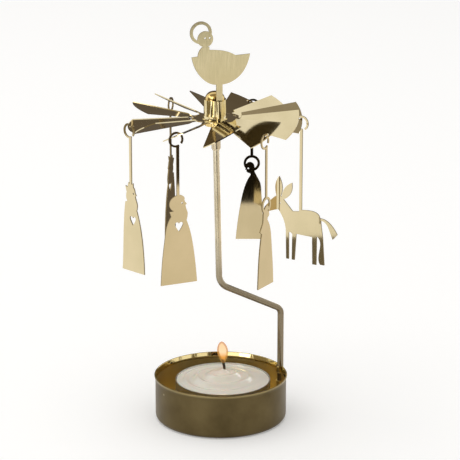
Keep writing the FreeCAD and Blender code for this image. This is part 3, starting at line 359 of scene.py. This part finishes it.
# Needle. A ground and hardened steel pin, bright, with fine rings left by the grinding wheel.
# A wave texture repeats at 0.31 of its size, so the rings lie 0.09 mm apart, coarser than real.
GRINDING_SIZE = 0.0003
needle_steel, tree, output = new_material("ground steel")
place = add_node(tree, "ShaderNodeTexCoord").outputs["Object"]
rings = add_node(tree, "ShaderNodeTexWave", {"Vector": place, "Scale": 1 / GRINDING_SIZE,
                                             "Distortion": 1.0}, bands_direction="Z")
bump = add_node(tree, "ShaderNodeBump", {"Height": rings.outputs["Fac"], "Strength": 0.2,
                                         "Distance": 0.00001})
metal = add_node(tree, "ShaderNodeBsdfPrincipled",
                 {"Base Color": colour("#b9b9bb"), "Metallic": 1.0, "Roughness": 0.2,
                  "Normal": bump.outputs[0]})
tree.links.new(metal.outputs[0], output.inputs["Surface"])
dress("pivot_needle", needle_steel)

# Candle cup. Drawn from one disc of sheet and lacquered, one brass throughout. Its outside is
# painted shade, a dull olive bronze with fine rub marks; inside and on the flared lip it keeps
# the brighter golden brass, which the flame lights.
CUP_CORNER_CENTRE = (0.0242, 0.002)
CUP_CORNER_MIDDLE = 0.00175
CUP_LIP_START = 0.0163
CUP_LIP_LEAN = 0.26
CUP_SIDE_BLEND = 0.00008
CUP_RIM_PAINTED_HIGHLIGHT = (0.0168, 0.0176)
CUP_LIP_POLISH = (0.0152, 0.0162)
CLIP_PLACE = (0.0262, 0.0, 0.0172)
CLIP_PAINTED_GLINT = (0.0022, 0.0032)
CUP_PATCH_SIZE = 0.012
CUP_SPECK_SPACING = 0.011
CUP_RUB_SIZE = 0.0009
CUP_NICK_SPACING = 0.005
cup_metal, tree, output = new_material("satin lacquered brass")
place = add_node(tree, "ShaderNodeTexCoord").outputs["Object"]
flat = add_node(tree, "ShaderNodeVectorMath", {0: place, 1: (1.0, 1.0, 0.0)},
                operation="MULTIPLY")
reach = add_node(tree, "ShaderNodeVectorMath", {0: flat.outputs[0]}, operation="LENGTH")
height = add_node(tree, "ShaderNodeSeparateXYZ", {"Vector": place}).outputs["Z"]
# The outside is what lies farther from the foot corner's centre than the sheet's middle
beyond = add_node(tree, "ShaderNodeMath", {0: reach.outputs["Value"], 1: CUP_CORNER_CENTRE[0]},
                  operation="SUBTRACT")
beyond = add_node(tree, "ShaderNodeMath", {0: beyond.outputs[0], 1: 0.0}, operation="MAXIMUM")
below = add_node(tree, "ShaderNodeMath", {0: CUP_CORNER_CENTRE[1], 1: height},
                 operation="SUBTRACT")
below = add_node(tree, "ShaderNodeMath", {0: below.outputs[0], 1: 0.0}, operation="MAXIMUM")
corner = add_node(tree, "ShaderNodeCombineXYZ", {"X": beyond.outputs[0],
                                                 "Y": below.outputs[0]})
depth = add_node(tree, "ShaderNodeVectorMath", {0: corner.outputs[0]}, operation="LENGTH")
lip_rise = add_node(tree, "ShaderNodeMath", {0: height, 1: CUP_LIP_START},
                    operation="SUBTRACT")
lip_rise = add_node(tree, "ShaderNodeMath", {0: lip_rise.outputs[0], 1: 0.0},
                    operation="MAXIMUM")
lip_lean = add_node(tree, "ShaderNodeMath", {0: lip_rise.outputs[0], 1: -CUP_LIP_LEAN,
                                             2: depth.outputs["Value"]},
                    operation="MULTIPLY_ADD")
outside = add_node(tree, "ShaderNodeMapRange",
                   {"Value": lip_lean.outputs[0],
                    "From Min": CUP_CORNER_MIDDLE - CUP_SIDE_BLEND,
                    "From Max": CUP_CORNER_MIDDLE + CUP_SIDE_BLEND})
# Painted highlights: a lighter band on the rim's top and a glint round the clip
rim_painted_highlight = add_node(tree, "ShaderNodeMapRange",
                    {"Value": height, "From Min": CUP_RIM_PAINTED_HIGHLIGHT[0], "From Max": CUP_RIM_PAINTED_HIGHLIGHT[1],
                     "To Min": 1.0, "To Max": 0.74})
painted_shade_and_dull = add_node(tree, "ShaderNodeMath", {0: outside.outputs[0], 1: rim_painted_highlight.outputs[0]},
                operation="MULTIPLY").outputs[0]
# The painted glint round the clip
from_clip = add_node(tree, "ShaderNodeVectorMath", {0: place, 1: CLIP_PLACE},
                     operation="DISTANCE")
clip_painted_glint = add_node(tree, "ShaderNodeMapRange",
                     {"Value": from_clip.outputs["Value"], "From Min": CLIP_PAINTED_GLINT[0],
                      "From Max": CLIP_PAINTED_GLINT[1]})
painted_shade_and_dull = add_node(tree, "ShaderNodeMath", {0: painted_shade_and_dull, 1: clip_painted_glint.outputs[0]},
                operation="MULTIPLY").outputs[0]
patches = add_node(tree, "ShaderNodeTexNoise", {"Vector": place,
                                                "Scale": 1 / CUP_PATCH_SIZE,
                                                "Detail": 4.0})
# The outside's olive bronze is painted shade on the same brass, its tone drifting at random
painted_shade_bronze = add_node(tree, "ShaderNodeValToRGB", {"Fac": patches.outputs["Fac"]})
painted_shade_bronze.color_ramp.elements[0].position = 0.3
painted_shade_bronze.color_ramp.elements[0].color = colour("#584b30")
painted_shade_bronze.color_ramp.elements[1].position = 0.7
painted_shade_bronze.color_ramp.elements[1].color = colour("#6d5f40")
gold = add_node(tree, "ShaderNodeValToRGB", {"Fac": patches.outputs["Fac"]})
gold.color_ramp.elements[0].color = colour("#e6cf90")
gold.color_ramp.elements[1].color = colour("#f2dfa6")
# A few pale specks, fine rub marks and nicks in the lacquer
specks = add_node(tree, "ShaderNodeTexVoronoi", {"Vector": place,
                                                 "Scale": 1 / CUP_SPECK_SPACING})
speck = add_node(tree, "ShaderNodeMapRange",
                 {"Value": specks.outputs["Distance"], "From Min": 0.03, "From Max": 0.045,
                  "To Min": 0.6, "To Max": 0.0})
marked = add_node(tree, "ShaderNodeMixRGB", {"Fac": speck.outputs[0],
                                             "Color1": painted_shade_bronze.outputs["Color"],
                                             "Color2": colour("#b7a985")})
# Golden brass inside, painted-shade bronze outside, lightened where highlights are painted
skin = add_node(tree, "ShaderNodeMixRGB", {"Fac": painted_shade_and_dull, "Color1": gold.outputs["Color"],
                                           "Color2": marked.outputs[0]})
rubs = add_node(tree, "ShaderNodeTexNoise", {"Vector": place, "Scale": 1 / CUP_RUB_SIZE,
                                             "Detail": 5.0})
nicks = add_node(tree, "ShaderNodeTexVoronoi", {"Vector": place,
                                                "Scale": 1 / CUP_NICK_SPACING},
                 feature="DISTANCE_TO_EDGE")
nick_depth = add_node(tree, "ShaderNodeMapRange",
                      {"Value": nicks.outputs["Distance"], "From Max": 0.02,
                       "To Min": -0.5, "To Max": 0.0})
relief = add_node(tree, "ShaderNodeMath", {0: rubs.outputs["Fac"], 1: nick_depth.outputs[0]},
                  operation="ADD")
bump = add_node(tree, "ShaderNodeBump", {"Height": relief.outputs[0], "Strength": 0.35,
                                         "Distance": 0.00004})
lip_shine = add_node(tree, "ShaderNodeMapRange",
                     {"Value": height, "From Min": CUP_LIP_POLISH[0],
                      "From Max": CUP_LIP_POLISH[1], "To Min": 0.36, "To Max": 0.09})
dullness = add_node(tree, "ShaderNodeMapRange", {"Value": painted_shade_and_dull, "To Min": lip_shine.outputs[0],
                                                 "To Max": 0.42})
metal = add_node(tree, "ShaderNodeBsdfPrincipled",
                 {"Base Color": skin.outputs["Color"], "Metallic": 1.0,
                  "Roughness": dullness.outputs[0], "Normal": bump.outputs[0]})
tree.links.new(metal.outputs[0], output.inputs["Surface"])
dress("candle_cup", cup_metal)

# Tea-light cup and the wick's foot. Thin pressed aluminium and tinned sheet. The cup's wall has
# the faint upright creases of a deep pressing.
CREASE_SIZE = 0.0012
CREASE_STRETCH = 0.1
foil, tree, output = new_material("pressed aluminium foil")
place = add_node(tree, "ShaderNodeTexCoord").outputs["Object"]
creased = add_node(tree, "ShaderNodeMapping", {"Vector": place,
                                               "Scale": (1.0, 1.0, CREASE_STRETCH)})
creases = add_node(tree, "ShaderNodeTexNoise", {"Vector": creased.outputs[0],
                                                "Scale": 1 / CREASE_SIZE, "Detail": 3.0})
bump = add_node(tree, "ShaderNodeBump", {"Height": creases.outputs["Fac"], "Strength": 0.5,
                                         "Distance": 0.00008})
gloss = add_node(tree, "ShaderNodeMapRange", {"Value": creases.outputs["Fac"],
                                              "To Min": 0.25, "To Max": 0.4})
metal = add_node(tree, "ShaderNodeBsdfPrincipled",
                 {"Base Color": colour("#e4e3e0"), "Metallic": 1.0,
                  "Roughness": gloss.outputs[0], "Normal": bump.outputs[0]})
tree.links.new(metal.outputs[0], output.inputs["Surface"])
for name in ("tealight_cup", "wick_sustainer"):
    dress(name, foil)

# Wax. Cast paraffin that has burnt for a while and set again: a low cone round the wick, with
# soft uneven rings where the pool froze, and a smooth band against the cup. It is cloudy and
# lets a little light in, so its shadows are soft.
WAX_RINGS = 72
WAX_TURNS = 160
WAX_CONE_SHARE = 0.9
WAX_EDGE = 0.0153
WAX_FROZEN_RINGS = 3.7
WAX_FROZEN_RISE = 0.00075
WAX_CLOUD_SIZE = 0.006
WAX_GRAIN_SIZE = 0.0012
low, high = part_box("tealight_wax")
wax_middle = Vector(((low[0] + high[0]) / 2, (low[1] + high[1]) / 2, 0))
wax_radius = (high[0] - low[0]) / 2
wax_peak = high[2]


def wax_height(share, turn):
    """Height of the wax's surface at a share of its radius."""
    # The cone is steeper near the wick
    slope = 1 - share
    cone = slope * (0.62 + 0.38 * slope ** 2)
    # Its frozen rings sway a little with the turn, and each is in part a sharp crease
    sway = 0.06 * math.sin(turn + 0.7) + 0.035 * math.sin(2 * turn - 1.1)
    phase = share * WAX_FROZEN_RINGS + sway + 0.03 * math.sin(3 * turn)
    crease = 1 - 2 * abs(math.sin(math.pi * phase)) ** 0.8
    wave = 0.65 * math.cos(2 * math.pi * phase) + 0.35 * crease
    # They fade out at the middle and near the edge, and are higher on one side
    fade = math.sin(math.pi * min(1.0, share * 1.06)) ** 0.7 if share < 0.94 else 0.0
    lean = 0.55 + 0.45 * math.sin(turn + 2.6 + share * 3)
    return (WAX_EDGE + (wax_peak - WAX_EDGE) * cone * WAX_CONE_SHARE
            + WAX_FROZEN_RISE * wave * fade * lean)


wax_mesh = bpy.data.meshes.new("wax")
wax_build = bmesh.new()
rows = []
for ring in range(1, WAX_RINGS + 1):
    share = ring / WAX_RINGS
    row = []
    for step in range(WAX_TURNS):
        turn = 2 * math.pi * step / WAX_TURNS
        spot = wax_middle + Vector((math.cos(turn), math.sin(turn), 0)) * wax_radius * share
        row.append(wax_build.verts.new((spot.x, spot.y, wax_height(share, turn))))
    rows.append(row)
bottom = [wax_build.verts.new((v.co.x, v.co.y, low[2])) for v in rows[-1]]
rows.append(bottom)
top = wax_build.verts.new((wax_middle.x, wax_middle.y, wax_height(0, 0)))
for step in range(WAX_TURNS):
    following = (step + 1) % WAX_TURNS
    wax_build.faces.new((top, rows[0][step], rows[0][following]))
    for inner, outer in zip(rows, rows[1:]):
        wax_build.faces.new((inner[step], outer[step], outer[following], inner[following]))
wax_build.faces.new(list(reversed(bottom)))
for face in wax_build.faces:
    face.smooth = len(face.verts) < 5
wax_build.to_mesh(wax_mesh)
wax_build.free()
wax = new_object("wax", wax_mesh)
paraffin, tree, output = new_material("paraffin wax")
place = add_node(tree, "ShaderNodeTexCoord").outputs["Object"]
clouds = add_node(tree, "ShaderNodeTexNoise", {"Vector": place, "Scale": 1 / WAX_CLOUD_SIZE,
                                               "Detail": 3.0})
tone = add_node(tree, "ShaderNodeValToRGB", {"Fac": clouds.outputs["Fac"]})
tone.color_ramp.elements[0].color = colour("#e4dfd2")
tone.color_ramp.elements[1].color = colour("#f0ece1")
grain = add_node(tree, "ShaderNodeTexNoise", {"Vector": place, "Scale": 1 / WAX_GRAIN_SIZE,
                                              "Detail": 2.0})
bump = add_node(tree, "ShaderNodeBump", {"Height": grain.outputs["Fac"], "Strength": 0.15,
                                         "Distance": 0.0001})
body = add_node(tree, "ShaderNodeBsdfPrincipled",
                {"Base Color": tone.outputs["Color"], "Roughness": 0.17,
                 "Subsurface Weight": 0.2, "Subsurface Scale": 0.002,
                 "Normal": bump.outputs[0]})
tree.links.new(body.outputs[0], output.inputs["Surface"])
wax_mesh.materials.append(paraffin)
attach(wax, "tealight")
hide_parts("tealight_wax")

# Wick. Braided cotton dipped in wax, charred black where it has burnt, brown at its foot. The
# braid's slanted bands lie about 1 mm apart, coarser than real threads.
CHAR_HEIGHTS = (0.0195, 0.0215)
BRAID_SIZE = 0.003
char, tree, output = new_material("charred cotton braid")
place = add_node(tree, "ShaderNodeTexCoord").outputs["Object"]
level = add_node(tree, "ShaderNodeSeparateXYZ", {"Vector": place}).outputs["Z"]
burnt = add_node(tree, "ShaderNodeMapRange", {"Value": level, "From Min": CHAR_HEIGHTS[0],
                                              "From Max": CHAR_HEIGHTS[1]})
tone = add_node(tree, "ShaderNodeMixRGB", {"Fac": burnt.outputs[0],
                                           "Color1": colour("#6b4d38"),
                                           "Color2": colour("#231a16")})
braid = add_node(tree, "ShaderNodeTexWave", {"Vector": place, "Scale": 1 / BRAID_SIZE,
                                             "Distortion": 2.0}, bands_direction="DIAGONAL")
bump = add_node(tree, "ShaderNodeBump", {"Height": braid.outputs["Fac"], "Strength": 0.7,
                                         "Distance": 0.0001})
body = add_node(tree, "ShaderNodeBsdfPrincipled",
                {"Base Color": tone.outputs["Color"], "Roughness": 0.85,
                 "Normal": bump.outputs[0]})
tree.links.new(body.outputs[0], output.inputs["Surface"])
dress("tealight_wick", char)

# Flame. A still flame on the wick: a pale core inside a thin orange mantle, both see-through
# low down, where the wick shows. It isn't solid and has no CAD node.
FLAME_FOOT = 0.0217
FLAME_TIP = 0.0315
FLAME_WIDTH = 0.0044
FLAME_LEAN = 0.0007
FLAME_POINT = 0.00002
CORE_WIDTH = 0.0029
CORE_FOOT_RISE = 0.0012
CORE_TIP_DROP = 0.0008
FLAME_TURNS = 32
FLAME_ROWS = 24
wick_low, wick_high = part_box("tealight_wick")
wick_middle = Vector((wick_low[0] + wick_high[0], wick_low[1] + wick_high[1], 0)) / 2


def flame_shell(name, foot, tip, width):
    """Teardrop shell over the wick, its tip a little to the left of its belly."""
    mesh = bpy.data.meshes.new(name)
    build = bmesh.new()
    rows = []
    for row in range(FLAME_ROWS + 1):
        share = row / FLAME_ROWS
        round_part = math.sin(math.pi * share ** 1.3) ** 0.62
        radius = max(FLAME_POINT, width / 2 * round_part)
        middle = wick_middle + from_view(-FLAME_LEAN * share ** 1.5, 0,
                                         foot + (tip - foot) * share)
        rows.append([build.verts.new(middle + Vector((math.cos(turn), math.sin(turn), 0)) * radius)
                     for turn in [2 * math.pi * n / FLAME_TURNS for n in range(FLAME_TURNS)]])
    for lower, upper in zip(rows, rows[1:]):
        for n in range(FLAME_TURNS):
            after = (n + 1) % FLAME_TURNS
            build.faces.new((lower[n], lower[after], upper[after], upper[n])).smooth = True
    build.faces.new(list(reversed(rows[0])))
    build.faces.new(rows[-1])
    build.to_mesh(mesh)
    build.free()
    shell = new_object(name, mesh)
    shell.visible_shadow = False
    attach(shell, "tealight")
    return shell


def flame_material(name, tones, clear_below, clear_above, strength):
    """Glow whose colour changes with height, see-through by shares given low and high up."""
    material, tree, output = new_material(name)
    place = add_node(tree, "ShaderNodeTexCoord").outputs["Object"]
    level = add_node(tree, "ShaderNodeSeparateXYZ", {"Vector": place}).outputs["Z"]
    climb = add_node(tree, "ShaderNodeMapRange", {"Value": level, "From Min": FLAME_FOOT,
                                                  "From Max": FLAME_TIP})
    ramp = add_node(tree, "ShaderNodeValToRGB", {"Fac": climb.outputs[0]})
    for index, (position, tone) in enumerate(tones):
        if index < 2:
            stop = ramp.color_ramp.elements[index]
            stop.position = position
        else:
            stop = ramp.color_ramp.elements.new(position)
        stop.color = colour(tone)
    clear = add_node(tree, "ShaderNodeMapRange", {"Value": climb.outputs[0], "From Max": 0.6,
                                                  "To Min": clear_below,
                                                  "To Max": clear_above})
    glow = add_node(tree, "ShaderNodeEmission", {"Color": ramp.outputs["Color"],
                                                 "Strength": strength})
    empty = add_node(tree, "ShaderNodeBsdfTransparent")
    mixed = add_node(tree, "ShaderNodeMixShader", {"Fac": clear.outputs[0],
                                                   1: glow.outputs[0], 2: empty.outputs[0]})
    tree.links.new(mixed.outputs[0], output.inputs["Surface"])
    return material


mantle = flame_shell("flame_mantle", FLAME_FOOT, FLAME_TIP, FLAME_WIDTH)
mantle.data.materials.append(flame_material(
    "flame mantle", [(0.0, "#b58845"), (1.0, "#d98f45"), (0.5, "#dd9d50")],
    clear_below=0.7, clear_above=0.45, strength=1.0))
core = flame_shell("flame_core", FLAME_FOOT + CORE_FOOT_RISE, FLAME_TIP - CORE_TIP_DROP,
                   CORE_WIDTH)
core.data.materials.append(flame_material(
    "flame core", [(0.0, "#a86c30"), (1.0, "#fbe6bd"), (0.35, "#dc963e"), (0.58, "#fff1d0")],
    clear_below=0.5, clear_above=0.0, strength=1.5))

# Light of the flame. A small warm lamp high in the flame, just strong enough to gild the
# inside of the cup.
FLAME_LIGHT_DROP = 0.003
flame_light = bpy.data.lights.new("flame_light", "POINT")
flame_light.color = colour("#ffc98a")[:3]
flame_light.energy = 0.0008
flame_light.shadow_soft_size = 0.002
flame_lamp = bpy.data.objects.new("flame_light", flame_light)
flame_lamp.location = (wick_middle.x, wick_middle.y, FLAME_TIP - FLAME_LIGHT_DROP)
scene.collection.objects.link(flame_lamp)
